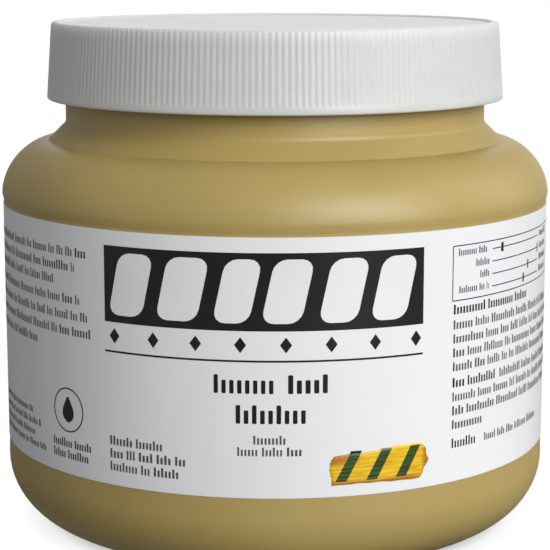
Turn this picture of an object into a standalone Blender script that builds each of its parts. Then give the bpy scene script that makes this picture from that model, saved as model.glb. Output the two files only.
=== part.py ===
# Wide-mouth paint jar with a screw lid: jar body, wrap-around label, painted colour patch,
# the paint inside, the lid's foam liner and the ribbed lid. Metres and degrees, +Z up.
# The origin is the centre of the base, on the surface the jar stands on.

import math

import bmesh
import bpy
from mathutils import Matrix, Vector

# Round pieces
FACETS = 60                  # flats round every turned piece, so that neighbours line up
GAP = 0.0003                 # clearance between pieces that touch

# Jar body
BODY_RADIUS = 0.0610         # straight side, measured over the label
WALL = 0.0015
RIM_Z = 0.1074               # sealing rim above the base
NECK_RADIUS = 0.0468
RIM_CHAMFER = 0.0005
NECK_FOOT_Z = 0.0891         # where the neck meets the cone above the shoulder
CREASE_RADIUS = 0.0507       # where that cone meets the rounded shoulder
CREASE_Z = 0.0853
SHOULDER_RADIUS = 0.0612
SHOULDER_Z = 0.0738
SHOULDER_POWER = 1.8         # superellipse power of the shoulder's curve, 2 is a plain ellipse
HEEL_ARC = 0.0145            # rounding between the side and the base
FOOT_WIDTH = 0.0055          # flat ring that the jar stands on
PUSH_UP = 0.0020             # height of the raised middle of the base

# Label, in a shallow recess of the side
LABEL_BOTTOM_Z = 0.0195
LABEL_TOP_Z = 0.0717
LABEL_THICKNESS = 0.0003
LABEL_FACETS = FACETS - 1    # it stops one flat short of a full turn, at the back
RECESS_MARGIN = 0.0005       # bare recess above and below the label

# Painted colour patch on the label
PATCH_BEARING = 20.9         # degrees to the right of the front
PATCH_Z = 0.0250
PATCH_LENGTH = 0.0212
PATCH_HEIGHT = 0.0068
PATCH_THICKNESS = 0.0004
PATCH_STEPS = 10

# Paint
FILL_Z = 0.0955              # level of some 950 ml of paint, a little way up the neck

# Screw thread, one start, right-handed, five turns to the inch
PITCH = 0.00508
THREAD_TURNS = 1.25
THREAD_START_Z = 0.0980      # middle of the jar's thread at its lower end
THREAD_ROOT_HALF = 0.0010
THREAD_CREST_HALF = 0.00055
THREAD_BURY = 0.0004         # how far a thread's root goes into its wall
THREAD_FADE = 24.0           # degrees over which each end runs out into the wall
THREAD_END_HEIGHT = 0.1      # share of its height left at the buried ends
JAR_CREST_RADIUS = 0.0483
LID_CREST_RADIUS = 0.04725
LID_THREAD_DROP = 0.0018     # the lid's thread hangs this far under the jar's thread

# Lid
LID_BOTTOM_Z = 0.0944
LID_HEIGHT = 0.0167
LID_BOTTOM_RADIUS = 0.0509
LID_TOP_RADIUS = 0.0497
LID_INNER_RADIUS = 0.04865
LID_UNDERSIDE = 0.0146       # underside of the lid's plate above its lower edge
PANEL_DEPTH = 0.0009         # the top panel lies this far below the lid's raised rim
PANEL_RADIUS = 0.0468
RIM_SLOPE = 0.0005
EDGE_ROUND = 0.0012
RIBS = 240
RIB_DEPTH = 0.00030
RIB_BAND_BOTTOM = 0.0016     # plain band under the ribs
RIB_BAND_TOP = 0.0009        # plain edge above the ribs

# Foam liner, between the rim and the lid
LINER_RADIUS = 0.0476
LINER_THICKNESS = 0.0010


def clear_scene():
    for obj in list(bpy.data.objects):
        bpy.data.objects.remove(obj, do_unlink=True)


def make_collection(name):
    collection = bpy.data.collections.new(name)
    bpy.context.scene.collection.children.link(collection)
    return collection


def make_material(name, color, roughness, alpha=1.0):
    material = bpy.data.materials.new(name)
    material.use_nodes = True
    shader = material.node_tree.nodes["Principled BSDF"]
    shader.inputs["Base Color"].default_value = (*color, 1.0)
    shader.inputs["Roughness"].default_value = roughness
    shader.inputs["Metallic"].default_value = 0.0
    shader.inputs["Alpha"].default_value = alpha
    return material


def make_object(name, mesh, collection, material=None, parent=None):
    obj = bpy.data.objects.new(name, mesh)
    collection.objects.link(obj)
    obj.parent = parent
    if material:
        mesh.materials.append(material)
    return obj


def make_empty(name, collection, height, parent=None):
    empty = bpy.data.objects.new(name, None)
    collection.objects.link(empty)
    empty.location = (0.0, 0.0, height)
    empty.parent = parent
    return empty


def turned_mesh(name, profile):
    """A line of (radius, height) points, to be turned about Z by a Screw modifier."""
    mesh = bpy.data.meshes.new(name)
    points = [(radius, 0.0, height) for radius, height in profile]
    mesh.from_pydata(points, [(i, i + 1) for i in range(len(points) - 1)], [])
    return mesh


def add_screw(obj, facets=FACETS, degrees=360.0):
    screw = obj.modifiers.new("Turn", "SCREW")
    screw.axis = "Z"
    screw.angle = math.radians(degrees)
    screw.steps = facets
    screw.render_steps = facets
    screw.use_merge_vertices = degrees == 360.0
    screw.merge_threshold = 0.00001
    return screw


def add_union(obj, other):
    union = obj.modifiers.new("Union " + other.name, "BOOLEAN")
    union.operation = "UNION"
    union.object = other
    other.hide_render = True
    other.display_type = "WIRE"


def settle(obj, sharp_degrees=30.0):
    """Make the modifiers' result the object's own mesh, shaded smooth between real edges."""
    view = bpy.context.evaluated_depsgraph_get()
    mesh = bpy.data.meshes.new_from_object(obj.evaluated_get(view))
    obj.modifiers.clear()
    obj.data = mesh
    mesh.shade_smooth()
    mesh.set_sharp_from_angle(angle=math.radians(sharp_degrees))


def inset(outline, distance):
    """The outline moved inwards by a distance; its points run down the outer side."""
    moved = []
    last = len(outline) - 1
    for i, point in enumerate(outline):
        before = Vector(point) - Vector(outline[max(i - 1, 0)])
        after = Vector(outline[min(i + 1, last)]) - Vector(point)
        before = (before if before.length else after).normalized()
        after = (after if after.length else before).normalized()
        inward = Vector((before.y + after.y, -before.x - after.x))
        inward *= distance / (1.0 + before.dot(after))
        moved.append((max(point[0] + inward.x, 0.0), point[1] + inward.y))
    return moved


def jar_outline():
    """The jar's outer side, from the sealing rim down to the middle of the base."""
    panel_radius = BODY_RADIUS - LABEL_THICKNESS - GAP
    outline = [
        (NECK_RADIUS, RIM_Z - RIM_CHAMFER),
        (NECK_RADIUS, NECK_FOOT_Z + 0.0008),
        (NECK_RADIUS + 0.0004, NECK_FOOT_Z),
    ]
    shoulder_steps = 7
    for step in range(shoulder_steps + 1):
        turn = 0.5 * math.pi * step / shoulder_steps
        across = math.sin(turn) ** (2.0 / SHOULDER_POWER)
        up = max(math.cos(turn), 0.0) ** (2.0 / SHOULDER_POWER)
        outline.append((
            CREASE_RADIUS + (SHOULDER_RADIUS - CREASE_RADIUS) * across,
            SHOULDER_Z + (CREASE_Z - SHOULDER_Z) * up,
        ))
    recess_top = LABEL_TOP_Z + RECESS_MARGIN
    recess_bottom = LABEL_BOTTOM_Z - RECESS_MARGIN
    outline += [
        (panel_radius, recess_top),
        (panel_radius, recess_bottom),
    ]
    heel_steps = 7
    for step in range(heel_steps + 1):
        turn = 0.5 * math.pi * step / heel_steps
        outline.append((
            BODY_RADIUS - HEEL_ARC * (1.0 - math.cos(turn)),
            HEEL_ARC * (1.0 - math.sin(turn)),
        ))
    foot_inner = BODY_RADIUS - HEEL_ARC - FOOT_WIDTH
    outline += [(foot_inner, 0.0), (foot_inner - PUSH_UP, PUSH_UP), (0.0, PUSH_UP)]
    return outline


def make_thread(name, collection, wall_radius, crest_radius, start_z, parent=None):
    """A ridge wound up a wall, outside it or inside it, whose two ends fade into the wall."""
    side = 1.0 if crest_radius > wall_radius else -1.0
    root_radius = wall_radius - side * THREAD_BURY
    bm = bmesh.new()
    section = [
        (root_radius, -THREAD_ROOT_HALF),
        (crest_radius, -THREAD_CREST_HALF),
        (crest_radius, THREAD_CREST_HALF),
        (root_radius, THREAD_ROOT_HALF),
    ]
    corners = [bm.verts.new((radius, 0.0, start_z + z)) for radius, z in section]
    face = bm.faces.new(corners)
    bmesh.ops.spin(
        bm,
        geom=[face, *face.edges, *face.verts],
        axis=(0.0, 0.0, 1.0),
        dvec=(0.0, 0.0, PITCH / FACETS),
        angle=2.0 * math.pi * THREAD_TURNS,
        steps=round(THREAD_TURNS * FACETS),
    )
    for vert in bm.verts:
        # Turns from the lower end: the bearing gives the fraction, the height the whole turns.
        fraction = math.atan2(vert.co.y, vert.co.x) / (2.0 * math.pi)
        turns = round((vert.co.z - start_z) / PITCH - fraction) + fraction
        from_end = 360.0 * min(turns, THREAD_TURNS - turns)
        full = min(max(from_end / THREAD_FADE, THREAD_END_HEIGHT), 1.0)
        radius = math.hypot(vert.co.x, vert.co.y)
        faded = root_radius + (radius - root_radius) * full
        vert.co.x *= faded / radius
        vert.co.y *= faded / radius
    # Half a flat round, so that the ridge's corners miss the wall's.
    half_flat = Matrix.Rotation(math.pi / FACETS, 3, "Z")
    bmesh.ops.rotate(bm, cent=(0.0, 0.0, 0.0), matrix=half_flat, verts=bm.verts)
    bmesh.ops.recalc_face_normals(bm, faces=bm.faces)
    mesh = bpy.data.meshes.new(name)
    bm.to_mesh(mesh)
    bm.free()
    return make_object(name, mesh, collection, parent=parent)


def make_jar_body(parts, tools, material):
    outside = jar_outline()
    rim = [
        (NECK_RADIUS - WALL + RIM_CHAMFER, RIM_Z),
        (NECK_RADIUS - RIM_CHAMFER, RIM_Z),
    ]
    inside = list(reversed(inset(outside, WALL)))
    body = make_object("jar_body", turned_mesh("jar_body", inside + rim + outside), parts, material)
    add_screw(body)
    ridge = make_thread(
        "jar_thread_ridge", tools, NECK_RADIUS, JAR_CREST_RADIUS, THREAD_START_Z)
    add_union(body, ridge)
    settle(body)
    return body


def make_paint(parts, material, body):
    side = inset(jar_outline(), WALL + GAP)
    below = [point for point in side if point[1] < FILL_Z]
    surface = [(0.0, FILL_Z), (NECK_RADIUS - WALL - GAP, FILL_Z)]
    paint = make_object(
        "paint_fill", turned_mesh("paint_fill", surface + below), parts, material, body)
    add_screw(paint)
    settle(paint)


def make_label(parts, material, body):
    profile = [(BODY_RADIUS, LABEL_TOP_Z), (BODY_RADIUS, LABEL_BOTTOM_Z)]
    label = make_object("label", turned_mesh("label", profile), parts, material, body)
    flat = 360.0 / FACETS
    add_screw(label, LABEL_FACETS, LABEL_FACETS * flat)
    film = label.modifiers.new("Film", "SOLIDIFY")
    film.thickness = LABEL_THICKNESS
    film.offset = -1.0
    film.use_even_offset = True
    settle(label)
    # The open seam goes to the back, over one flat of the jar.
    label.data.transform(Matrix.Rotation(math.radians(90.0 + flat), 4, "Z"))


def make_patch(parts, material, body):
    """A sheet of dried paint with cut corners, bent onto the label."""
    radius = BODY_RADIUS + GAP
    bm = bmesh.new()
    bmesh.ops.create_grid(bm, x_segments=PATCH_STEPS, y_segments=3, size=0.5)
    bmesh.ops.scale(bm, vec=(PATCH_LENGTH, PATCH_HEIGHT, 1.0), verts=bm.verts)
    for vert in bm.verts:
        if abs(vert.co.x) > 0.49 * PATCH_LENGTH and abs(vert.co.y) > 0.49 * PATCH_HEIGHT:
            vert.co.x *= 0.95
    for vert in bm.verts:
        bearing = math.radians(PATCH_BEARING) + vert.co.x / radius
        vert.co = (radius * math.sin(bearing), -radius * math.cos(bearing), PATCH_Z + vert.co.y)
    mesh = bpy.data.meshes.new("paint_patch")
    bm.to_mesh(mesh)
    bm.free()
    patch = make_object("paint_patch", mesh, parts, material, body)
    coat = patch.modifiers.new("Coat", "SOLIDIFY")
    coat.thickness = PATCH_THICKNESS
    coat.offset = 1.0
    settle(patch)


def make_rib_ring(tools, parent):
    """A band of fine upright ribs that narrows upwards with the lid's skirt.

    Its inner edge lies in the middle of the skirt's wall.
    """
    low = RIB_BAND_BOTTOM
    high = LID_HEIGHT - RIB_BAND_TOP
    taper = (LID_BOTTOM_RADIUS - LID_TOP_RADIUS) / LID_HEIGHT
    bm = bmesh.new()
    ring = bmesh.ops.create_circle(bm, segments=2 * RIBS, radius=LID_BOTTOM_RADIUS - taper * low)
    for vert in ring["verts"][::2]:
        vert.co *= 1.0 + RIB_DEPTH / LID_BOTTOM_RADIUS
    wall_middle = 0.5 * (LID_INNER_RADIUS + LID_TOP_RADIUS)
    hole = bmesh.ops.create_circle(bm, segments=FACETS, radius=wall_middle)
    edges = {edge for vert in ring["verts"] + hole["verts"] for edge in vert.link_edges}
    filled = bmesh.ops.triangle_fill(bm, edges=list(edges), use_beauty=True)
    floor = [item for item in filled["geom"] if isinstance(item, bmesh.types.BMFace)]
    bmesh.ops.translate(bm, vec=(0.0, 0.0, low), verts=bm.verts)
    raised = bmesh.ops.extrude_face_region(bm, geom=floor, use_keep_orig=True)
    top = [item for item in raised["geom"] if isinstance(item, bmesh.types.BMVert)]
    bmesh.ops.translate(bm, vec=(0.0, 0.0, high - low), verts=top)
    for vert in top:
        radius = math.hypot(vert.co.x, vert.co.y)
        if radius > LID_TOP_RADIUS:
            shrink = 1.0 - taper * (high - low) / radius
            vert.co.x *= shrink
            vert.co.y *= shrink
    bmesh.ops.recalc_face_normals(bm, faces=bm.faces)
    mesh = bpy.data.meshes.new("lid_rib_ring")
    bm.to_mesh(mesh)
    bm.free()
    return make_object("lid_rib_ring", mesh, tools, parent=parent)


def make_lid(parts, tools, material, turning):
    """The lid, in heights above its own lower edge."""
    panel_z = LID_HEIGHT - PANEL_DEPTH
    profile = [
        (0.0, panel_z),
        (PANEL_RADIUS, panel_z),
        (PANEL_RADIUS + RIM_SLOPE, LID_HEIGHT),
        (LID_TOP_RADIUS - EDGE_ROUND, LID_HEIGHT),
        (LID_TOP_RADIUS - 0.3 * EDGE_ROUND, LID_HEIGHT - 0.3 * EDGE_ROUND),
        (LID_TOP_RADIUS, LID_HEIGHT - EDGE_ROUND),
        (LID_BOTTOM_RADIUS, 0.0),
        (LID_INNER_RADIUS, 0.0),
        (LID_INNER_RADIUS, LID_UNDERSIDE),
        (0.0, LID_UNDERSIDE),
    ]
    lid = make_object("lid", turned_mesh("lid", profile), parts, material, turning)
    add_screw(lid)
    add_union(lid, make_rib_ring(tools, turning))
    thread_z = THREAD_START_Z - LID_THREAD_DROP - LID_BOTTOM_Z
    ridge = make_thread(
        "lid_thread_ridge", tools, LID_INNER_RADIUS, LID_CREST_RADIUS, thread_z, turning)
    add_union(lid, ridge)
    settle(lid)


def make_liner(parts, material, rising):
    """The foam disc, in heights above the sealing rim."""
    profile = [
        (0.0, GAP + LINER_THICKNESS),
        (LINER_RADIUS, GAP + LINER_THICKNESS),
        (LINER_RADIUS, GAP),
        (0.0, GAP),
    ]
    liner = make_object("lid_liner", turned_mesh("lid_liner", profile), parts, material, rising)
    add_screw(liner)
    settle(liner)


def build():
    clear_scene()
    parts = make_collection("paint_jar")
    tools = make_collection("ridges_joined_to_parts")
    natural_hdpe = make_material("jar natural HDPE", (0.78, 0.76, 0.66), 0.42, 0.6)
    white_pp = make_material("lid white polypropylene", (0.80, 0.81, 0.80), 0.38)
    white_film = make_material("label white film", (0.84, 0.85, 0.86), 0.45)
    ochre_paint = make_material("paint ochre acrylic", (0.42, 0.28, 0.06), 0.30)
    yellow_paint = make_material("dried yellow acrylic", (0.78, 0.42, 0.01), 0.35)
    white_foam = make_material("liner white foam", (0.86, 0.86, 0.84), 0.80)

    body = make_jar_body(parts, tools, natural_hdpe)
    make_paint(parts, ochre_paint, body)
    make_label(parts, white_film, body)
    make_patch(parts, yellow_paint, body)

    # The liner rises up the axis with the lid, and the lid turns about the same axis.
    rising = make_empty("lid_rise_axis", parts, RIM_Z)
    turning = make_empty("lid_turn_axis", parts, LID_BOTTOM_Z - RIM_Z, rising)
    make_liner(parts, white_foam, rising)
    make_lid(parts, tools, white_pp, turning)


build()
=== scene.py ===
import math
import random

import bmesh
import bpy
from mathutils import Matrix, Vector


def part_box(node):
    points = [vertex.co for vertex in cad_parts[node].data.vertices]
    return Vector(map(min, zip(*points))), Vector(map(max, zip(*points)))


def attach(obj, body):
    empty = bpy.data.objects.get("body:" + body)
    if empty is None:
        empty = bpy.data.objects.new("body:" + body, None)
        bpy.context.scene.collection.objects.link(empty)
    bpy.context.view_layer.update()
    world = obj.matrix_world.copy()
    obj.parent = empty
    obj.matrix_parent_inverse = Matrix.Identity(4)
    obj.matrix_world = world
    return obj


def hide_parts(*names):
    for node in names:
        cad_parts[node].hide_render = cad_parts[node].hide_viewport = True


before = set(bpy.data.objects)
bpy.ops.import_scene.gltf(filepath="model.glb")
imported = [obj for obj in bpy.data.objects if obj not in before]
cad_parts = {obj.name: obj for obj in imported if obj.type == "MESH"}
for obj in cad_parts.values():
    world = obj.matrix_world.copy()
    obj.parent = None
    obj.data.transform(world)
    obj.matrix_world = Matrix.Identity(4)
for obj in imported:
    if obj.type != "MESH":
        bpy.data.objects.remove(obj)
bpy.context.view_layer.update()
mm = 0.001


def fromHex(text):
    channels = [int(text[i:i + 2], 16) / 255 for i in (1, 3, 5)]
    linear = [c / 12.92 if c <= 0.04045 else ((c + 0.055) / 1.055) ** 2.4 for c in channels]
    return (*linear, 1.0)


def addNode(owner, kind, settings=None, links=None):
    # owner is a material or the world; settings are the node's own fields or, by socket name or
    # number, its inputs; links go into inputs
    tree = owner.node_tree
    node = tree.nodes.new(kind)
    for name, value in (settings or {}).items():
        if hasattr(node, str(name)):
            setattr(node, name, value)
        else:
            node.inputs[name].default_value = value
    for name, source in (links or {}).items():
        socket = source.outputs[0] if isinstance(source, bpy.types.Node) else source
        tree.links.new(socket, node.inputs[name])
    return node


def newMaterial(name, settings):
    material = bpy.data.materials.new(name)
    material.use_nodes = True
    shader = material.node_tree.nodes["Principled BSDF"]
    for key, value in settings.items():
        shader.inputs[key].default_value = value
    return material, shader


def plug(material, source, socket):
    output = source.outputs[0] if isinstance(source, bpy.types.Node) else source
    material.node_tree.links.new(output, socket)


def patternScale(size):
    # a texture's scale on coordinates in metres, from the size of its pattern in mm
    return 1 / (size * mm)


def setRamp(node, stops):
    ramp = node.color_ramp
    while len(ramp.elements) < len(stops):
        ramp.elements.new(0.5)
    for element, (place, color) in zip(ramp.elements, stops):
        element.position = place
        element.color = color
    return node


def filletLine(points, segments=4):
    # points are (radius, height) or (radius, height, fillet) in mm; fillets become arcs
    line = []
    for i, point in enumerate(points):
        here = Vector(point[:2])
        fillet = point[2] if len(point) > 2 else 0.0
        if not fillet:
            line.append(tuple(here))
            continue
        toLast = (Vector(points[i - 1][:2]) - here).normalized()
        toNext = (Vector(points[i + 1][:2]) - here).normalized()
        half = 0.5 * toLast.angle(toNext)
        reach = fillet / math.tan(half)
        centre = here + (toLast + toNext).normalized() * (fillet / math.sin(half))
        start = here + toLast * reach - centre
        end = here + toNext * reach - centre
        sweep = start.angle_signed(end)
        for step in range(segments + 1):
            turn = -sweep * step / segments
            spoke = Vector((
                start.x * math.cos(turn) - start.y * math.sin(turn),
                start.x * math.sin(turn) + start.y * math.cos(turn),
            ))
            line.append(tuple(centre + spoke))
    return line


def turnLine(line, steps, doublings=4):
    # turns a (radius, height) line in mm about the jar's axis: a slice is spun, then doubled round
    bm = bmesh.new()
    verts = [bm.verts.new((radius * mm, 0.0, height * mm)) for radius, height in line]
    edges = [bm.edges.new(pair) for pair in zip(verts, verts[1:])]
    slices = 2 ** doublings
    bmesh.ops.spin(
        bm, geom=verts + edges, cent=(0, 0, 0), axis=(0, 0, 1),
        angle=2 * math.pi / slices, steps=steps // slices)
    for i in range(doublings):
        copied = bmesh.ops.duplicate(bm, geom=bm.verts[:] + bm.edges[:] + bm.faces[:])["geom"]
        bmesh.ops.rotate(
            bm, cent=(0, 0, 0), matrix=Matrix.Rotation(2 * math.pi * 2 ** i / slices, 3, "Z"),
            verts=[item for item in copied if isinstance(item, bmesh.types.BMVert)])
    bmesh.ops.remove_doubles(bm, verts=bm.verts, dist=0.002 * mm)
    bmesh.ops.recalc_face_normals(bm, faces=bm.faces)
    return bm


def newPiece(bm, name, material):
    mesh = bpy.data.meshes.new(name)
    bm.to_mesh(mesh)
    bm.free()
    mesh.materials.append(material)
    piece = bpy.data.objects.new(name, mesh)
    bpy.context.scene.collection.objects.link(piece)
    return piece


def finishPiece(bm, name, material, body, nodes=(), smoothAngle=35.0):
    piece = newPiece(bm, name, material)
    piece.data.shade_smooth()
    piece.data.set_sharp_from_angle(angle=math.radians(smoothAngle))
    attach(piece, body)
    if nodes:
        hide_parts(*nodes)
    return piece


def addThread(bm, thread, wallRadius, crestRadius, startHeight):
    # one ridge wound up a wall, its ends running out into it
    side = 1.0 if crestRadius > wallRadius else -1.0
    root = wallRadius - side * thread["bury"]
    rootHalf, crestHalf = thread["rootHalf"], thread["crestHalf"]
    section = filletLine([
        (root, -rootHalf),
        (wallRadius, -rootHalf * 0.96),
        (crestRadius, -crestHalf, thread["crestRound"]),
        (crestRadius, crestHalf, thread["crestRound"]),
        (wallRadius, rootHalf * 0.96),
        (root, rootHalf),
    ], 3)
    ridge = bmesh.new()
    verts = [ridge.verts.new((r * mm, 0.0, (startHeight + z) * mm)) for r, z in section]
    face = ridge.faces.new(verts)
    bmesh.ops.spin(
        ridge, geom=[face, *face.edges, *face.verts], cent=(0, 0, 0), axis=(0, 0, 1),
        dvec=(0, 0, thread["pitch"] * mm / thread["steps"]),
        angle=2 * math.pi * thread["turns"], steps=round(thread["turns"] * thread["steps"]))
    for v in ridge.verts:
        fraction = math.atan2(v.co.y, v.co.x) / (2 * math.pi)
        rise = (v.co.z / mm - startHeight) / thread["pitch"]
        turns = round(rise - fraction) + fraction
        share = min(turns, thread["turns"] - turns) * 360 / thread["fade"]
        share = min(max(share, 0.0), 1.0)
        share = share * share * (3 - 2 * share)
        radius = math.hypot(v.co.x, v.co.y)
        wanted = root * mm + (radius - root * mm) * (0.05 + 0.95 * share)
        v.co.x *= wanted / radius
        v.co.y *= wanted / radius
    bmesh.ops.recalc_face_normals(ridge, faces=ridge.faces)
    wound = bpy.data.meshes.new("wound thread")
    ridge.to_mesh(wound)
    ridge.free()
    bm.from_mesh(wound)
    bpy.data.meshes.remove(wound)


# camera, floor and light

view = dict(
    side=0.0, distance=411.5, height=126.6,     # mm from the jar's axis and base
    pitch=10.07, lens=119.6,
)
camera = bpy.data.objects.new("camera", bpy.data.cameras.new("camera"))
camera.data.lens = view["lens"]
camera.data.sensor_width = 36.0
camera.data.clip_start = 0.01
camera.location = (view["side"] * mm, -view["distance"] * mm, view["height"] * mm)
camera.rotation_euler = (math.radians(90 - view["pitch"]), 0.0, 0.0)
bpy.context.scene.collection.objects.link(camera)
bpy.context.scene.camera = camera
bpy.context.scene.view_settings.view_transform = "Standard"

floorBoard = dict(radius=120.0, drop=0.03, segments=96)   # mm, its top just under the jar's foot

# a small floor board that glows white: matt, with a painted contact shadow that dims its glow close to the
# foot, then plain white
opal, opalShader = newMaterial("glowing white floor board with painted contact shadow", {
    "Base Color": fromHex("#5c5c5c"), "Roughness": 0.7, "Emission Strength": 1.0})
opalSpot = addNode(opal, "ShaderNodeTexCoord").outputs["Object"]
opalReach = addNode(opal, "ShaderNodeVectorMath", {"operation": "LENGTH"}, {0: opalSpot})
opalShare = addNode(opal, "ShaderNodeMath", {"operation": "DIVIDE", 1: 100 * mm},
                    {0: opalReach.outputs["Value"]})
# painted contact shadow: the glow falls from full white to half close to the jar's foot
floorGlowPaintedShadow = setRamp(addNode(opal, "ShaderNodeValToRGB", {}, {"Fac": opalShare}), [
    (0.50, (0.50, 0.50, 0.50, 1)), (0.54, (0.84, 0.84, 0.84, 1)), (0.60, (1, 1, 1, 1))])
plug(opal, floorGlowPaintedShadow, opalShader.inputs["Emission Color"])
opalGrain = addNode(opal, "ShaderNodeTexNoise", {"Scale": patternScale(1.11), "Detail": 3.0},
                    {"Vector": opalSpot})
opalBump = addNode(opal, "ShaderNodeBump", {"Strength": 0.02, "Distance": 0.2 * mm},
                   {"Height": opalGrain.outputs["Fac"]})
plug(opal, opalBump, opalShader.inputs["Normal"])
bm = bmesh.new()
bmesh.ops.create_circle(bm, cap_ends=True, segments=floorBoard["segments"], radius=floorBoard["radius"] * mm)
bmesh.ops.translate(bm, vec=(0.0, 0.0, -floorBoard["drop"] * mm), verts=bm.verts)
floor = newPiece(bm, "floor", opal)
floor.visible_diffuse = False   # the board's glow is hidden from diffuse and glossy rays, so it gives no light to the jar
floor.visible_glossy = False

feltRing = dict(inner=63.0, outer=400.0, height=0.6, segments=96)   # mm

# a ring of grey felt round the jar, unseen by the camera: matt and fibrous, it gives back a weak light
felt, feltShader = newMaterial("grey felt", {"Base Color": fromHex("#808080"), "Roughness": 0.95})
feltSpot = addNode(felt, "ShaderNodeTexCoord").outputs["Object"]
feltFibres = addNode(felt, "ShaderNodeTexNoise", {"Scale": patternScale(1.25), "Detail": 3.0},
                     {"Vector": feltSpot})
feltBump = addNode(felt, "ShaderNodeBump", {"Strength": 0.2, "Distance": 0.5 * mm},
                   {"Height": feltFibres.outputs["Fac"]})
plug(felt, feltBump, feltShader.inputs["Normal"])
bm = bmesh.new()
for radius in (feltRing["inner"], feltRing["outer"]):
    bmesh.ops.create_circle(bm, segments=feltRing["segments"], radius=radius * mm)
bmesh.ops.bridge_loops(bm, edges=bm.edges[:])
bmesh.ops.translate(bm, vec=(0.0, 0.0, feltRing["height"] * mm), verts=bm.verts)
card = newPiece(bm, "feltRing", felt)
card.visible_camera = False

softboxes = dict(
    # watts, (width, height) in metres, bearing to the right of the front and climb in degrees
    keySoftbox=(14.2, (0.8, 0.8), 37, 25),
    sideSoftbox=(2.4, (0.5, 0.8), 105, 22),
    backSoftbox=(3.6, (0.8, 0.6), 180, 38),
)
softboxAim = Vector((0.0, 0.0, 0.055))   # the middle of the jar
softboxDistance = 1.2
for name, (power, size, bearing, climb) in softboxes.items():
    turn, lift = math.radians(bearing), math.radians(climb)
    toBox = Vector((math.cos(lift) * math.sin(turn), -math.cos(lift) * math.cos(turn), math.sin(lift)))
    lamp = bpy.data.lights.new(name, "AREA")
    lamp.shape = "RECTANGLE"
    lamp.size, lamp.size_y = size
    lamp.energy = power
    box = bpy.data.objects.new(name, lamp)
    box.location = softboxAim + softboxDistance * toBox
    box.rotation_euler = (-toBox).to_track_quat("-Z", "Y").to_euler()
    bpy.context.scene.collection.objects.link(box)

world = bpy.data.worlds.new("white studio")
bpy.context.scene.world = world
world.use_nodes = True
world.node_tree.nodes.clear()
worldAim = addNode(world, "ShaderNodeTexCoord").outputs["Generated"]
worldAxes = addNode(world, "ShaderNodeSeparateXYZ", {}, {0: worldAim})
# brighter overhead than below
worldGrade = addNode(world, "ShaderNodeMapRange", {
    "From Min": -0.2, "From Max": 0.4, "To Min": 0.08, "To Max": 0.24}, {"Value": worldAxes.outputs["Z"]})
# the lit sweep behind the jar, a little to the right, seen in its grazing reflections
worldTurn = addNode(world, "ShaderNodeVectorMath", {"operation": "DOT_PRODUCT", 1: (0.26, 0.966, 0.0)},
                    {0: worldAim})
worldBack = addNode(world, "ShaderNodeMapRange", {
    "From Min": 0.80, "From Max": 0.98, "To Min": 0.0, "To Max": 0.80}, {"Value": worldTurn.outputs["Value"]})
# and a weak even fill from the left
worldFill = addNode(world, "ShaderNodeMapRange", {
    "From Min": 0.1, "From Max": -1.0, "To Min": 0.0, "To Max": 0.33}, {"Value": worldAxes.outputs["X"]})
worldBoth = addNode(world, "ShaderNodeMath", {"operation": "ADD"}, {0: worldBack, 1: worldFill})
worldSum = addNode(world, "ShaderNodeMath", {"operation": "ADD"}, {0: worldGrade, 1: worldBoth})
worldLight = addNode(world, "ShaderNodeBackground", {}, {"Strength": worldSum})
# the camera sees plain white
worldSeen = addNode(world, "ShaderNodeBackground", {"Color": (1.0, 1.0, 1.0, 1.0), "Strength": 1.0})
worldPath = addNode(world, "ShaderNodeLightPath")
worldMix = addNode(world, "ShaderNodeMixShader", {}, {
    0: worldPath.outputs["Is Camera Ray"], 1: worldLight, 2: worldSeen})
addNode(world, "ShaderNodeOutputWorld", {}, {0: worldMix})
print("stage: camera, floor and lights")

# jar body

jar = dict(
    steps=288,
    neckRadius=46.8, rimHeight=107.4, wall=1.5, rimRound=0.55, lipHeight=106.0,
    neckFoot=89.1, creaseRadius=50.7, creaseHeight=85.3,
    shoulderRadius=61.2, shoulderHeight=73.8, shoulderPower=1.8, shoulderSteps=22,
    panelRadius=60.86, panelTop=72.3, panelBottom=18.9, sideRadius=61.0,
    heelRadius=14.5, heelSteps=16, footWidth=5.5,
    pushUp=2.0, pushUpSlope=2.4, pushUpMiddle=2.5, domeRadius=20.0, flatRadius=8.0,
    fillHeight=95.5,
    bare="#dcd8c6",   # natural HDPE with nothing behind it
)
thread = dict(
    pitch=5.08, turns=1.25, steps=144, fade=28.0,
    bury=0.4, rootHalf=1.0, crestHalf=0.55, crestRound=0.3,
    jarCrest=48.3, jarStart=98.0, lidCrest=47.25, lidDrop=1.8,
)


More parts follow.
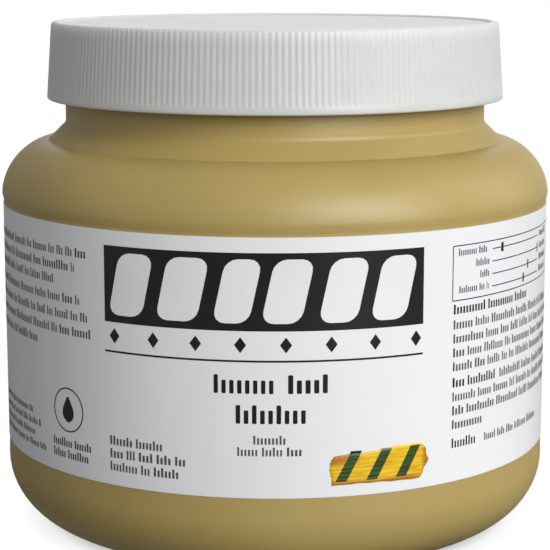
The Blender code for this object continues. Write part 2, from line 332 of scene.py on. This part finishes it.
def jarOutside():
    line = filletLine([
        (jar["neckRadius"], jar["lipHeight"]),
        (jar["neckRadius"], jar["neckFoot"], 1.6),
        (jar["creaseRadius"] + 0.2, jar["creaseHeight"] - 0.2),
    ], 5)[:-1]
    for step in range(jar["shoulderSteps"] + 1):
        turn = 0.5 * math.pi * step / jar["shoulderSteps"]
        across = math.sin(turn) ** (2 / jar["shoulderPower"])
        up = max(math.cos(turn), 0.0) ** (2 / jar["shoulderPower"])
        line.append((
            jar["creaseRadius"] + (jar["shoulderRadius"] - jar["creaseRadius"]) * across,
            jar["shoulderHeight"] + (jar["creaseHeight"] - jar["shoulderHeight"]) * up,
        ))
    line += filletLine([
        (jar["shoulderRadius"], jar["shoulderHeight"]),
        (jar["panelRadius"], jar["panelTop"], 1.0),
        (jar["panelRadius"], jar["panelBottom"], 1.0),
        (jar["sideRadius"], jar["heelRadius"]),
    ], 3)[1:-1]
    for step in range(jar["heelSteps"] + 1):
        turn = 0.5 * math.pi * step / jar["heelSteps"]
        line.append((
            jar["sideRadius"] - jar["heelRadius"] * (1 - math.cos(turn)),
            jar["heelRadius"] * (1 - math.sin(turn)),
        ))
    footInner = jar["sideRadius"] - jar["heelRadius"] - jar["footWidth"]
    line += filletLine([
        (footInner + 2.0, 0.0),
        (footInner, 0.0, 0.8),
        (footInner - jar["pushUpSlope"], jar["pushUp"], 1.2),
        (jar["domeRadius"], jar["pushUpMiddle"] - 0.2, 6.0),
        (jar["flatRadius"], jar["pushUpMiddle"]),
        (0.0, jar["pushUpMiddle"]),
    ], 4)[1:]
    return line


def insetLine(line, distance):
    # the same line moved in by a wall's thickness; it runs down the outer side
    moved = []
    for i, point in enumerate(line):
        before = Vector(line[max(i - 1, 0)])
        after = Vector(line[min(i + 1, len(line) - 1)])
        along = (after - before).normalized()
        moved.append((max(point[0] + along.y * distance, 0.0), point[1] - along.x * distance))
    return moved


# blow-moulded natural HDPE: milky, satin, with the paint's colour showing through it
hdpe, hdpeShader = newMaterial("blow moulded natural HDPE", {
    "Roughness": 0.46, "IOR": 1.54, "Specular IOR Level": 0.6,
    "Subsurface Weight": 0.12, "Subsurface Scale": 4 * mm, "Subsurface Radius": (1.0, 0.75, 0.4)})
hdpeSpot = addNode(hdpe, "ShaderNodeTexCoord").outputs["Object"]
hdpeHeight = addNode(hdpe, "ShaderNodeSeparateXYZ", {}, {"Vector": hdpeSpot}).outputs["Z"]
hdpeCloud = addNode(hdpe, "ShaderNodeTexNoise", {
    "Scale": patternScale(26.3), "Detail": 4.0, "Roughness": 0.55}, {"Vector": hdpeSpot})
hdpeTint = setRamp(addNode(hdpe, "ShaderNodeValToRGB", {}, {"Fac": hdpeCloud.outputs["Fac"]}), [
    (0.30, fromHex("#ae9756")), (0.70, fromHex("#b69f60"))])
# the paint's level on the inside of the wall, a little uneven
hdpeWave = addNode(hdpe, "ShaderNodeTexNoise", {"Scale": patternScale(16.7), "Detail": 3.0},
                   {"Vector": hdpeSpot})
hdpeLine = addNode(hdpe, "ShaderNodeMath", {"operation": "MULTIPLY_ADD", 1: 2.4 * mm, 2: -1.2 * mm},
                   {0: hdpeWave.outputs["Fac"]})
hdpeLevel = addNode(hdpe, "ShaderNodeMath", {"operation": "ADD"}, {0: hdpeHeight, 1: hdpeLine})
hdpeBare = addNode(hdpe, "ShaderNodeMapRange", {
    "From Min": (jar["fillHeight"] + 0.2) * mm, "From Max": (jar["fillHeight"] + 1.0) * mm},
    {"Value": hdpeLevel})
hdpeMix = addNode(hdpe, "ShaderNodeMix", {"data_type": "RGBA", 7: fromHex(jar["bare"])},
                  {0: hdpeBare, 6: hdpeTint})
plug(hdpe, hdpeMix.outputs[2], hdpeShader.inputs["Base Color"])
hdpeGrain = addNode(hdpe, "ShaderNodeTexNoise", {"Scale": patternScale(0.714), "Detail": 2.0},
                    {"Vector": hdpeSpot})
hdpeBump = addNode(hdpe, "ShaderNodeBump", {"Strength": 0.06, "Distance": 0.2 * mm},
                   {"Height": hdpeGrain.outputs["Fac"]})
hdpeSwell = addNode(hdpe, "ShaderNodeTexNoise", {"Scale": patternScale(45.5), "Detail": 1.0},
                    {"Vector": hdpeSpot})
hdpeSoft = addNode(hdpe, "ShaderNodeBump", {"Strength": 0.10, "Distance": 2 * mm},
                   {"Height": hdpeSwell.outputs["Fac"], "Normal": hdpeBump})
plug(hdpe, hdpeSoft, hdpeShader.inputs["Normal"])

outside = jarOutside()
inside = insetLine(outside, jar["wall"])
rim = filletLine([
    (jar["neckRadius"] - jar["wall"], jar["lipHeight"]),
    (jar["neckRadius"] - jar["wall"], jar["rimHeight"], jar["rimRound"]),
    (jar["neckRadius"], jar["rimHeight"], jar["rimRound"]),
    (jar["neckRadius"], jar["lipHeight"]),
], 4)[1:-1]
bm = turnLine(list(reversed(inside)) + rim + outside, jar["steps"])
addThread(bm, thread, jar["neckRadius"], thread["jarCrest"], thread["jarStart"])
finishPiece(bm, "jarBody", hdpe, "jar", ["jar_body"])
print("stage: jar body")

# lid

lid = dict(
    steps=1440, ribs=240, ribDepth=0.13,
    bottom=94.4, top=111.25, bottomRadius=50.85, topRadius=49.65,
    innerRadius=48.65, underside=109.0,
    bandBottom=1.5, ribRows=10, ribFade=0.8,
    panelDepth=0.5, panelRadius=47.6, edgeRound=0.9,
)

# injection moulded polypropylene: white and satin, light sinks in and evens out its shades
polypropylene, ppShader = newMaterial("injection moulded white polypropylene", {
    "Roughness": 0.38, "IOR": 1.49,
    "Subsurface Weight": 0.45, "Subsurface Scale": 6 * mm, "Subsurface Radius": (1.0, 0.97, 0.94)})
ppSpot = addNode(polypropylene, "ShaderNodeTexCoord").outputs["Object"]
ppCloud = addNode(polypropylene, "ShaderNodeTexNoise", {"Scale": patternScale(33.3), "Detail": 3.0},
                  {"Vector": ppSpot})
ppTint = setRamp(addNode(polypropylene, "ShaderNodeValToRGB", {}, {"Fac": ppCloud.outputs["Fac"]}), [
    (0.3, fromHex("#d3d5d4")), (0.7, fromHex("#dadcdb"))])
plug(polypropylene, ppTint, ppShader.inputs["Base Color"])
ppGrain = addNode(polypropylene, "ShaderNodeTexNoise", {"Scale": patternScale(0.455), "Detail": 2.0},
                  {"Vector": ppSpot})
ppBump = addNode(polypropylene, "ShaderNodeBump", {"Strength": 0.10, "Distance": 0.1 * mm},
                 {"Height": ppGrain.outputs["Fac"]})
plug(polypropylene, ppBump, ppShader.inputs["Normal"])


def skirtRadius(height):
    share = (height - lid["bottom"]) / (lid["top"] - lid["bottom"])
    return lid["bottomRadius"] + (lid["topRadius"] - lid["bottomRadius"]) * share


ribLow = lid["bottom"] + lid["bandBottom"]
ribHigh = lid["top"]
panelHeight = lid["top"] - lid["panelDepth"]
ribFade = lid["ribFade"]
ribHeights = [ribLow + share * ribFade for share in (0.0, 0.25, 0.5625, 1.0)]
for i in range(1, lid["ribRows"]):
    ribHeights.append(ribLow + ribFade + (ribHigh - ribLow - 2 * ribFade) * i / lid["ribRows"])
lidTop = filletLine([
    (0.0, panelHeight),
    (lid["panelRadius"], panelHeight, 0.3),
    (lid["panelRadius"] + 0.35, lid["top"], 0.3),
    (lid["topRadius"], lid["top"], lid["edgeRound"]),
    (skirtRadius(ribHigh - 2), ribHigh - 2),
], 5)[:-1]
lidBottom = filletLine([
    (skirtRadius(ribLow), ribLow),
    (lid["bottomRadius"], lid["bottom"], 0.4),
    (lid["innerRadius"] + 0.2, lid["bottom"], 0.3),
    (lid["innerRadius"], lid["bottom"] + 1.2, 0.4),
    (lid["innerRadius"], lid["underside"], 0.8),
    (0.0, lid["underside"]),
], 4)[1:]
lidSkirt = [(skirtRadius(h), h) for h in reversed(ribHeights) if h < lidTop[-1][1]]
bm = turnLine(lidTop + lidSkirt + lidBottom, lid["steps"])
for v in bm.verts:
    # shallow grooves between the ribs; they run out below the top face and above the lower band
    radius = math.hypot(v.co.x, v.co.y) / mm
    height = v.co.z / mm
    if radius > lid["topRadius"] - 0.6 and ribLow < height < ribHigh - 0.05:
        cycle = math.atan2(v.co.y, v.co.x) / (2 * math.pi) * lid["ribs"]
        groove = (0.5 + 0.5 * math.cos(2 * math.pi * cycle)) ** 1.25
        fade = min((height - ribLow) / ribFade, (ribHigh - height) / ribFade, 1.0)
        cut = 1.0 - lid["ribDepth"] * groove * math.sin(0.5 * math.pi * fade) / radius
        v.co.x *= cut
        v.co.y *= cut
addThread(bm, thread, lid["innerRadius"], thread["lidCrest"], thread["jarStart"] - thread["lidDrop"])
finishPiece(bm, "lidShell", polypropylene, "lid", ["lid"], 40.0)
print("stage: lid")

# foam liner

liner = dict(radius=47.6, low=107.7, high=108.7, steps=160)

# closed-cell polyethylene foam between two skins: fine pale cells, matt
foam, foamShader = newMaterial("closed cell polyethylene foam", {
    "Roughness": 0.7, "Subsurface Weight": 0.1, "Subsurface Scale": 1 * mm})
foamSpot = addNode(foam, "ShaderNodeTexCoord").outputs["Object"]
foamCells = addNode(foam, "ShaderNodeTexVoronoi", {"Scale": patternScale(0.556)}, {"Vector": foamSpot})
foamTint = setRamp(addNode(foam, "ShaderNodeValToRGB", {}, {"Fac": foamCells.outputs["Distance"]}), [
    (0.0, fromHex("#f2f1ed")), (1.0, fromHex("#dddbd4"))])
plug(foam, foamTint, foamShader.inputs["Base Color"])
foamBump = addNode(foam, "ShaderNodeBump", {"Strength": 0.3, "Distance": 0.2 * mm},
                   {"Height": foamCells.outputs["Distance"]})
plug(foam, foamBump, foamShader.inputs["Normal"])
bm = turnLine(filletLine([
    (0.0, liner["high"]),
    (liner["radius"], liner["high"], 0.3),
    (liner["radius"], liner["low"], 0.3),
    (0.0, liner["low"]),
], 3), liner["steps"])
finishPiece(bm, "foamLiner", foam, "liner", ["lid_liner"])
print("stage: liner")

# paint in the jar

paint = dict(gap=0.12, steps=128, rings=26, hollow=0.4, foldHeight=0.34)

# thick acrylic paint, wet: deep ochre, glossy, left in soft folds
wetPaint, wetShader = newMaterial("wet heavy acrylic paint", {
    "Roughness": 0.22, "IOR": 1.48, "Coat Weight": 0.4, "Coat Roughness": 0.12})
wetSpot = addNode(wetPaint, "ShaderNodeTexCoord").outputs["Object"]
wetCloud = addNode(wetPaint, "ShaderNodeTexNoise", {"Scale": patternScale(22.2), "Detail": 4.0},
                   {"Vector": wetSpot})
wetTint = setRamp(addNode(wetPaint, "ShaderNodeValToRGB", {}, {"Fac": wetCloud.outputs["Fac"]}), [
    (0.3, fromHex("#6d4e10")), (0.7, fromHex("#8d6a1d"))])
plug(wetPaint, wetTint, wetShader.inputs["Base Color"])
wetRough = addNode(wetPaint, "ShaderNodeBump", {"Strength": 0.15, "Distance": 0.8 * mm},
                   {"Height": wetCloud.outputs["Fac"]})
plug(wetPaint, wetRough, wetShader.inputs["Normal"])
paintSide = [p for p in insetLine(outside, jar["wall"] + paint["gap"]) if p[1] < jar["fillHeight"] - 0.5]
paintRadius = jar["neckRadius"] - jar["wall"] - paint["gap"]
paintLevel = jar["fillHeight"] - paint["hollow"]
surface = [(paintRadius * i / paint["rings"], paintLevel) for i in range(paint["rings"])]
surface.append((paintRadius, jar["fillHeight"]))
bm = turnLine(surface + paintSide, paint["steps"])
for v in bm.verts:
    radius = math.hypot(v.co.x, v.co.y) / mm
    if v.co.z / mm > paintLevel - 0.05 and radius < paintRadius - 0.5:
        bearing = math.atan2(v.co.y, v.co.x)
        fold = math.sin(radius * 0.42 + bearing) * 0.5 + math.sin(3 * bearing + radius * 0.2) * 0.35
        calm = min((paintRadius - radius) / 8.0, 1.0) * min(radius / 4.0, 1.0)
        v.co.z += paint["foldHeight"] * fold * calm * mm
finishPiece(bm, "paintFill", wetPaint, "jar", ["paint_fill"])
print("stage: paint")

# label

label = dict(
    low=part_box("label")[0].z / mm - 0.4, high=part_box("label")[1].z / mm, radius=61.0,
    thickness=0.12, degrees=354.0, steps=236, cornerRound=1.5,
    inkHeight=0.018, inkThickness=0.012, faceWidth=1.6, printShift=-0.5,
)

# polypropylene label film, gravure white with a satin overprint varnish
film, filmShader = newMaterial("satin white polypropylene label film", {
    "Roughness": 0.34, "IOR": 1.49})
filmSpot = addNode(film, "ShaderNodeTexCoord").outputs["Object"]
filmCloud = addNode(film, "ShaderNodeTexNoise", {"Scale": patternScale(38.5), "Detail": 3.0},
                    {"Vector": filmSpot})
filmTint = setRamp(addNode(film, "ShaderNodeValToRGB", {}, {"Fac": filmCloud.outputs["Fac"]}), [
    (0.3, fromHex("#e9ebed")), (0.7, fromHex("#eff1f2"))])
plug(film, filmTint, filmShader.inputs["Base Color"])
filmGrain = addNode(film, "ShaderNodeTexNoise", {"Scale": patternScale(1.11), "Detail": 3.0},
                    {"Vector": filmSpot})
filmBump = addNode(film, "ShaderNodeBump", {"Strength": 0.05, "Distance": 0.1 * mm},
                   {"Height": filmGrain.outputs["Fac"]})
plug(film, filmBump, filmShader.inputs["Normal"])
bm = bmesh.new()
half = label["degrees"] / 360 * math.pi * label["radius"]
middle = 0.5 * (label["low"] + label["high"])
bmesh.ops.create_grid(bm, x_segments=label["steps"], y_segments=1, size=0.5)
bmesh.ops.scale(bm, vec=(2 * half, label["high"] - label["low"], 1), verts=bm.verts)
bmesh.ops.translate(bm, vec=(0, middle, 0), verts=bm.verts)
corners = [v for v in bm.verts if len(v.link_edges) == 2]
bmesh.ops.bevel(bm, geom=corners, offset=label["cornerRound"], segments=5, profile=0.5,
                affect="VERTICES", material=-1)


def bendOntoJar(bm, radius):
    # a flat drawing, x along the label from the middle of its front and y up, in mm
    for v in bm.verts:
        bearing = v.co.x / label["radius"]
        reach = (radius + v.co.z) * mm
        v.co = (reach * math.sin(bearing), -reach * math.cos(bearing), v.co.y * mm)


def thickenOutwards(bm, thickness):
    bmesh.ops.recalc_face_normals(bm, faces=bm.faces)
    inward = [f for f in bm.faces if f.normal.dot(Vector((*f.calc_center_median().xy, 0))) < 0]
    bmesh.ops.reverse_faces(bm, faces=inward)
    bmesh.ops.solidify(bm, geom=bm.faces[:], thickness=-thickness * mm)
    bmesh.ops.recalc_face_normals(bm, faces=bm.faces)


bendOntoJar(bm, label["radius"] - label["thickness"])
thickenOutwards(bm, label["thickness"])
finishPiece(bm, "labelFilm", film, "jar", ["label"])
print("stage: label film")

# print on the label

# gravure ink dries to a thin, even, satin layer
ink, inkShader = newMaterial("black gravure ink", {"Roughness": 0.33, "IOR": 1.5})
whiteInk, whiteShader = newMaterial("unprinted white of the label", {"Roughness": 0.34, "IOR": 1.49})
for material, shader, dark, pale in (
        (ink, inkShader, "#101113", "#1a1b1d"), (whiteInk, whiteShader, "#e9ebed", "#eff1f2")):
    spot = addNode(material, "ShaderNodeTexCoord").outputs["Object"]
    cloud = addNode(material, "ShaderNodeTexNoise", {"Scale": patternScale(16.7), "Detail": 4.0},
                    {"Vector": spot})
    tint = setRamp(addNode(material, "ShaderNodeValToRGB", {}, {"Fac": cloud.outputs["Fac"]}), [
        (0.3, fromHex(dark)), (0.7, fromHex(pale))])
    plug(material, tint, shader.inputs["Base Color"])
greyInk = ink.copy()
greyInk.name = "black gravure ink in fine type"
greyRamp = [n for n in greyInk.node_tree.nodes if n.type == "VALTORGB"][0]
setRamp(greyRamp, [(0.3, fromHex("#4c4d50")), (0.7, fromHex("#57585b"))])


def addOutline(bm, points, roundOff=0.0):
    # a flat shape in label mm; its corners are rounded
    verts = [bm.verts.new((x, y, 0.0)) for x, y in points]
    bm.faces.new(verts)
    if roundOff:
        bmesh.ops.bevel(bm, geom=verts, offset=roundOff, segments=4, profile=0.5,
                        affect="VERTICES", material=-1)


def addBar(bm, left, right, low, high, roundOff=0.0, slant=0.0):
    lean = 0.5 * slant * (high - low)
    addOutline(bm, [(left - lean, low), (right - lean, low),
                    (right + lean, high), (left + lean, high)], roundOff)


def addRing(bm, x, y, outer, inner, segments=48):
    loops = [bmesh.ops.create_circle(bm, segments=segments, radius=radius,
                                     matrix=Matrix.Translation((x, y, 0)))["verts"]
             for radius in (outer, inner)]
    edges = list({e for loop in loops for v in loop for e in v.link_edges})
    bmesh.ops.bridge_loops(bm, edges=edges)


def cutForBending(bm):
    # cuts the flat drawing into strips short enough to follow the jar
    low = min(v.co.x for v in bm.verts)
    high = max(v.co.x for v in bm.verts)
    for i in range(math.ceil(low / label["faceWidth"]), math.floor(high / label["faceWidth"]) + 1):
        bmesh.ops.bisect_plane(
            bm, geom=bm.verts[:] + bm.edges[:] + bm.faces[:], dist=0.001,
            plane_co=(i * label["faceWidth"], 0, 0), plane_no=(1, 0, 0))


def finishPrint(bm, name, material, layer=0):
    cutForBending(bm)
    bmesh.ops.translate(bm, vec=(label["printShift"], 0, 0), verts=bm.verts)
    bendOntoJar(bm, label["radius"] + (layer + 0.5) * label["inkHeight"])
    thickenOutwards(bm, label["inkThickness"])
    finishPiece(bm, name, material, "jar")


dice = random.Random(11)


def addWord(bm, left, right, base, size, roundOff=0.0):
    # a run of plain strokes instead of a word, some of them taller
    count = max(1, round((right - left) / (0.42 * size)))
    step = (right - left) / count
    for i in range(count):
        tall = 1.0 if i == 0 or dice.random() < 0.18 else 0.72
        addBar(bm, left + i * step, left + (i + 1) * step - 0.19 * size, base, base + tall * size, roundOff)


def addWords(bm, left, right, base, size):
    # one line of such runs
    at = left
    while at < right - 0.6 * size:
        length = min(size * dice.choice((1.2, 1.8, 2.4, 3.0, 3.6, 4.8)), right - at)
        addWord(bm, at, at + length, base, size)
        at += length + 0.34 * size


# sizes and places on the label are mm to the right of its middle and mm above the table
bars = dict(start=12.0, pitch=6.45, count=3, width=2.3, slant=0.54, low=22.2, high=28.35)
panel = dict(left=-35.9, right=31.45, low=53.1, high=68.65, ruleLow=46.85, ruleHigh=47.25)
headline = dict(size=3.8, roundOff=0.25, words=((-11.7, 0.9, 40.5), (3.1, 11.7, 40.5), (-7.3, 7.3, 34.4)))
bm = bmesh.new()
addBar(bm, panel["left"], panel["right"], panel["low"], panel["high"])
addBar(bm, panel["left"], panel["right"], panel["ruleLow"], panel["ruleHigh"])
for left, right, base in headline["words"]:
    addWord(bm, left, right, base, headline["size"], headline["roundOff"])
barLean = 0.5 * bars["slant"] * (bars["high"] - bars["low"])
for i in range(bars["count"]):
    at = bars["start"] + i * bars["pitch"] + barLean - label["printShift"]
    addBar(bm, at, at + bars["width"], bars["low"], bars["high"], 0.0, bars["slant"])
finishPrint(bm, "labelBlackPrint", ink)

# six slanted rounded daubs on the black panel
daubs = dict(
    low=54.6, high=67.4, slant=0.22, roundOff=2.5, inset=0.9,
    places=((-34.4, -24.7), (-23.4, -12.9), (-11.5, -2.4), (-1.8, 7.9), (9.5, 19.1), (20.1, 29.6)),
)
bm = bmesh.new()
for left, right in daubs["places"]:
    addBar(bm, left + daubs["inset"], right - daubs["inset"], daubs["low"], daubs["high"],
           daubs["roundOff"], daubs["slant"])
finishPrint(bm, "labelWhiteDaubs", whiteInk, 1)

# a row of diamonds under the panel, and a drop in a ring
diamonds = dict(first=-33.5, last=29.8, count=8, middle=50.3, halfWidth=1.2, halfHeight=1.6)
drop = dict(x=-47.1, ringHeight=32.8, outer=4.75, inner=4.45, top=36.0, shoulder=32.9, belly=31.2,
            bottom=29.9, halfWidth=1.8, roundOff=0.7)
bm = bmesh.new()
for i in range(diamonds["count"]):
    at = diamonds["first"] + i * (diamonds["last"] - diamonds["first"]) / (diamonds["count"] - 1)
    wide, tall, level = diamonds["halfWidth"], diamonds["halfHeight"], diamonds["middle"]
    addOutline(bm, [(at - wide, level), (at, level - tall), (at + wide, level), (at, level + tall)])
addRing(bm, drop["x"], drop["ringHeight"], drop["outer"], drop["inner"])
addOutline(bm, [
    (drop["x"], drop["top"]),
    (drop["x"] - drop["halfWidth"], drop["shoulder"]),
    (drop["x"] - drop["halfWidth"], drop["belly"]),
    (drop["x"], drop["bottom"]),
    (drop["x"] + drop["halfWidth"], drop["belly"]),
    (drop["x"] + drop["halfWidth"], drop["shoulder"]),
], drop["roundOff"])
finishPrint(bm, "labelMarks", ink)

# blocks of small type: its size, then the left, right and foot of each line
fineType = dict(
    leftColumn=(1.9, [(-92.0, right, base) for right, base in (
        (-40.2, 65.3), (-44.0, 62.2), (-50.9, 59.1), (-42.7, 55.5),
        (-38.8, 52.1), (-39.6, 48.8), (-57.9, 45.5))]),
    leftFoot=(1.5, [(-82.0, right, base) for right, base in (
        (-60.9, 29.6), (-57.3, 27.2), (-60.1, 24.8), (-54.6, 22.4))]),
    contents=(1.9, [(-35.0, right, base) for right, base in ((-22.4, 27.6), (-17.4, 24.9), (-18.6, 22.2))]),
    rightColumn=(1.9, [
        (39.2, 84.0, 51.0), (39.2, 86.0, 48.1), (39.2, 85.0, 45.2), (39.2, 85.0, 42.3),
        (54.0, 85.0, 38.9), (39.2, 86.0, 36.0), (39.2, 84.0, 33.1), (39.2, 48.6, 30.2)]),
    rightFoot=(1.7, [(49.0, 73.6, 26.2)]),
    underHeadline=(1.8, [(-3.8, 2.9, 30.2), (-7.0, 6.1, 27.8)]),
    chartWords=(1.5, [
        (40.3, 49.8, 66.0), (74.0, 81.0, 66.0), (45.4, 49.8, 63.4), (74.0, 81.0, 63.4),
        (46.7, 49.8, 60.9), (74.0, 81.0, 60.9), (40.6, 49.8, 58.3), (74.0, 81.0, 58.3)]),
)
boldType = dict(
    rightColumn=(2.0, [(39.2, 67.5, 54.1), (39.2, 52.6, 38.9), (39.2, 48.0, 26.2)]),
    underDrop=(1.8, [(-52.2, -40.0, 24.8), (-52.2, -39.9, 22.4)]),
)


def addBlocks(bm, blocks):
    for size, lines in blocks.values():
        for left, right, base in lines:
            addWords(bm, left, right, base, size)


bm = bmesh.new()
addBlocks(bm, fineType)
finishPrint(bm, "labelFinePrint", greyInk)

# a framed chart of four sliders: the height, place and width of each mark
chart = dict(
    left=38.8, right=88.0, low=56.9, high=68.1, lineLeft=50.6, lineRight=72.6, line=0.22, markHalf=0.95,
    marks=((66.4, 54.1, 0.9), (63.8, 72.4, 0.65), (61.2, 66.1, 0.65), (58.6, 63.7, 0.65)),
)
bm = bmesh.new()
addBlocks(bm, boldType)
halfLine = 0.5 * chart["line"]
for height in (chart["low"], chart["high"]):
    addBar(bm, chart["left"], chart["right"], height - halfLine, height + halfLine)
for place in (chart["left"], chart["right"]):
    addBar(bm, place - halfLine, place + halfLine, chart["low"], chart["high"])
for height, place, width in chart["marks"]:
    addBar(bm, chart["lineLeft"], chart["lineRight"], height - halfLine, height + halfLine)
    addBar(bm, place - 0.5 * width, place + 0.5 * width,
           height - chart["markHalf"], height + chart["markHalf"])
finishPrint(bm, "labelBoldPrint", ink)
print("stage: label print")

# painted patch

patch = dict(left=11.1, right=32.6, low=21.4, high=28.5, thickness=0.34, across=150, up=60)

# acrylic brushed onto the label and dried: transparent yellow, the printed bars showing green through it
dryPaint, dryShader = newMaterial("brushed dried yellow acrylic", {
    "Roughness": 0.38, "IOR": 1.49, "Coat Weight": 0.15, "Coat Roughness": 0.25})
dryUv = addNode(dryPaint, "ShaderNodeUVMap", {"uv_map": "patch"})
dryAxes = addNode(dryPaint, "ShaderNodeSeparateXYZ", {}, {"Vector": dryUv})
# the patch's own axes are in mm, and the brush's streaks are about 6.7 mm long and 0.44 mm wide
dryStretch = addNode(dryPaint, "ShaderNodeMapping", {"Scale": (1 / 6.667, 1 / 0.4444, 1.0)},
                     {"Vector": dryUv})
dryStreak = addNode(dryPaint, "ShaderNodeTexNoise", {"Scale": 1.0, "Detail": 5.0, "Roughness": 0.62},
                    {"Vector": dryStretch})
dryTint = setRamp(addNode(dryPaint, "ShaderNodeValToRGB", {}, {"Fac": dryStreak.outputs["Fac"]}), [
    (0.30, fromHex("#cf860c")), (0.44, fromHex("#e4b010")),
    (0.56, fromHex("#efca14")), (0.75, fromHex("#f5dc2e"))])
# thicker, browner paint along the foot of the stroke and at its tip; in the upper left corner the brown is
# painted shade
dryX, dryY = dryAxes.outputs["X"], dryAxes.outputs["Y"]
dryFoot, dryTip, dryLeft, dryUpper = [
    addNode(dryPaint, "ShaderNodeMapRange", {
        "interpolation_type": "SMOOTHSTEP", "From Min": start, "From Max": end}, {"Value": axis})
    for axis, start, end in ((dryY, 0.6, -0.5), (dryX, 18.6, 19.7), (dryX, 6.5, 1.0), (dryY, 2.6, 4.4))]
# painted shade: the upper left corner is browned to stand in for shadow
dryShadeCorner = addNode(dryPaint, "ShaderNodeMath", {"operation": "MULTIPLY"}, {0: dryLeft, 1: dryUpper})
dryEnds = addNode(dryPaint, "ShaderNodeMath", {"operation": "MAXIMUM"}, {0: dryFoot, 1: dryTip})
dryBrownAndShade = addNode(dryPaint, "ShaderNodeMath", {"operation": "MAXIMUM"}, {0: dryEnds, 1: dryShadeCorner})
dryShare = addNode(dryPaint, "ShaderNodeMath", {"operation": "MULTIPLY", 1: 0.95}, {0: dryBrownAndShade})
dryBrown = setRamp(addNode(dryPaint, "ShaderNodeValToRGB", {}, {"Fac": dryStreak.outputs["Fac"]}), [
    (0.35, fromHex("#9c5a10")), (0.7, fromHex("#cb8416"))])
dryBody = addNode(dryPaint, "ShaderNodeMix", {"data_type": "RGBA"}, {0: dryShare, 6: dryTint, 7: dryBrown})
# the three printed bars show dark green through the yellow
dryLean = addNode(dryPaint, "ShaderNodeMath", {"operation": "MULTIPLY", 1: bars["slant"]}, {0: dryY})
dryAlong = addNode(dryPaint, "ShaderNodeMath", {"operation": "SUBTRACT"}, {0: dryX, 1: dryLean})
dryCycle = addNode(dryPaint, "ShaderNodeMath", {"operation": "MODULO", 1: bars["pitch"]}, {0: dryAlong})
dryMask = addNode(dryPaint, "ShaderNodeMath", {"operation": "LESS_THAN", 1: bars["width"]}, {0: dryCycle})
for socket, operation, limit in (
        (dryAlong, "GREATER_THAN", 0.0), (dryAlong, "LESS_THAN", bars["count"] * bars["pitch"]),
        (dryY, "GREATER_THAN", 0.0), (dryY, "LESS_THAN", bars["high"] - bars["low"])):
    dryInside = addNode(dryPaint, "ShaderNodeMath", {"operation": operation, 1: limit}, {0: socket})
    dryMask = addNode(dryPaint, "ShaderNodeMath", {"operation": "MULTIPLY"}, {0: dryMask, 1: dryInside})
dryDark = setRamp(addNode(dryPaint, "ShaderNodeValToRGB", {}, {"Fac": dryStreak.outputs["Fac"]}), [
    (0.35, fromHex("#25340f")), (0.7, fromHex("#3c5a24"))])
dryMix = addNode(dryPaint, "ShaderNodeMix", {"data_type": "RGBA"}, {
    0: dryMask, 6: dryBody.outputs[2], 7: dryDark})
plug(dryPaint, dryMix.outputs[2], dryShader.inputs["Base Color"])

bm = bmesh.new()
bmesh.ops.create_grid(bm, x_segments=patch["across"], y_segments=patch["up"], size=0.5)
patchWide, patchTall = patch["right"] - patch["left"], patch["high"] - patch["low"]
uvLayer = bm.loops.layers.uv.new("patch")
for v in bm.verts:
    u, w = v.co.x + 0.5, v.co.y + 0.5
    # the ends of the stroke run ragged, the top edge climbs to the right
    leftEdge = 0.22 * math.sin(7 * w + 0.6) + 0.05 * math.sin(31 * w) + 0.5 * max(w - 0.88, 0.0) / 0.12
    rightEdge = -1.9 * abs(2 * w - 1.08) ** 1.5 + 0.22 * math.sin(17 * w)
    lowEdge = 0.16 * math.sin(5 * u) + 0.05 * math.sin(26 * u)
    highEdge = 0.3 - 1.45 * (1 - u) ** 1.5 + 0.12 * math.sin(11 * u) + 0.05 * math.sin(37 * u)
    x = patch["left"] + leftEdge * (1 - u) + rightEdge * u + patchWide * u
    y = patch["low"] + lowEdge * (1 - w) + highEdge * w + patchTall * w
    edge = min(u / 0.03, (1 - u) / 0.05, w / 0.08, (1 - w) / 0.08, 1.0)
    ridges = 0.5 + 0.16 * math.sin(46 * w + 1.3 * math.sin(3.1 * u))
    ridges += 0.10 * math.sin(97 * w + 2.1 * math.sin(5 * u + 1))
    lump = 0.35 * math.exp(-((u - 0.97) / 0.03) ** 2) + 0.25 * math.exp(-((w - 0.04) / 0.06) ** 2)
    height = patch["thickness"] * math.sqrt(max(edge, 0.0)) * (0.6 + 0.3 * ridges + lump)
    v.co = (x, y, height)
bm.normal_update()
flat = {v: (v.co.x - bars["start"], v.co.y - bars["low"]) for v in bm.verts}
for face in bm.faces:
    for loop in face.loops:
        loop[uvLayer].uv = flat[loop.vert]
rim = [e for e in bm.edges if e.is_boundary]
skirt = bmesh.ops.extrude_edge_only(bm, edges=rim)
skirtVerts = [item for item in skirt["geom"] if isinstance(item, bmesh.types.BMVert)]
for v in skirtVerts:
    v.co.z = -0.05
bmesh.ops.holes_fill(bm, edges=[e for e in bm.edges if e.is_boundary], sides=0)
bmesh.ops.triangulate(bm, faces=[f for f in bm.faces if len(f.verts) > 4])
bendOntoJar(bm, label["radius"])
bmesh.ops.recalc_face_normals(bm, faces=bm.faces)
finishPiece(bm, "paintPatch", dryPaint, "jar", ["paint_patch"])
print("stage: painted patch")
